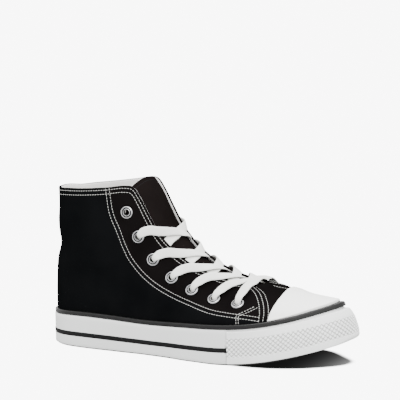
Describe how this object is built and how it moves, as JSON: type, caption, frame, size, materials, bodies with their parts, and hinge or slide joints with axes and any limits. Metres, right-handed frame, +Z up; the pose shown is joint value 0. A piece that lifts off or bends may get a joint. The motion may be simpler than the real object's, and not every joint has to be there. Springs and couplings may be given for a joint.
{
  "type": "high top sneaker",
  "caption": "Canvas high top sneaker for the right foot: hollow ankle-high upper, laced throat with tongue, rubber toe cap and a rubber sole wrapped by a tall side band.",
  "frame": {"origin": "on the floor, under the middle of the shoe's length and width", "axes": "+X towards the toe, +Y towards the inner side of the foot, +Z up"},
  "size_m": [0.2756, 0.1036, 0.1421],
  "materials": {
    "black_rubber": "matte black outsole rubber",
    "white_rubber": "smooth white side rubber",
    "bumper_rubber": "white rubber with small raised diamonds",
    "stripe_rubber": "satin black rubber",
    "line_rubber": "satin black rubber line",
    "insole_cloth": "off-white cloth over foam",
    "black_canvas": "black cotton canvas, lined white",
    "cap_rubber": "smooth glossy white rubber",
    "tongue_canvas": "black cotton canvas",
    "bright_metal": "bright rolled eyelet",
    "white_lace": "flat woven cotton"
  },
  "bodies": {
    "root": {"outsole": "black_rubber", "side_band": "white_rubber", "toe_bumper": "bumper_rubber", "top_stripe": "stripe_rubber", "mid_stripe": "line_rubber", "insole": "insole_cloth", "upper": "black_canvas", "toe_cap": "cap_rubber", "tongue": "tongue_canvas", "eyelet_outer_1": "bright_metal", "eyelet_outer_2": "bright_metal", "eyelet_outer_3": "bright_metal", "eyelet_outer_4": "bright_metal", "eyelet_outer_5": "bright_metal", "eyelet_outer_6": "bright_metal", "eyelet_outer_7": "bright_metal", "eyelet_inner_1": "bright_metal", "eyelet_inner_2": "bright_metal", "eyelet_inner_3": "bright_metal", "eyelet_inner_4": "bright_metal", "eyelet_inner_5": "bright_metal", "eyelet_inner_6": "bright_metal", "eyelet_inner_7": "bright_metal", "lace_crossing_1": "white_lace", "lace_crossing_2": "white_lace", "lace_crossing_3": "white_lace", "lace_crossing_4": "white_lace", "lace_crossing_5": "white_lace", "lace_bar": "white_lace"}
  },
  "joints": []
}
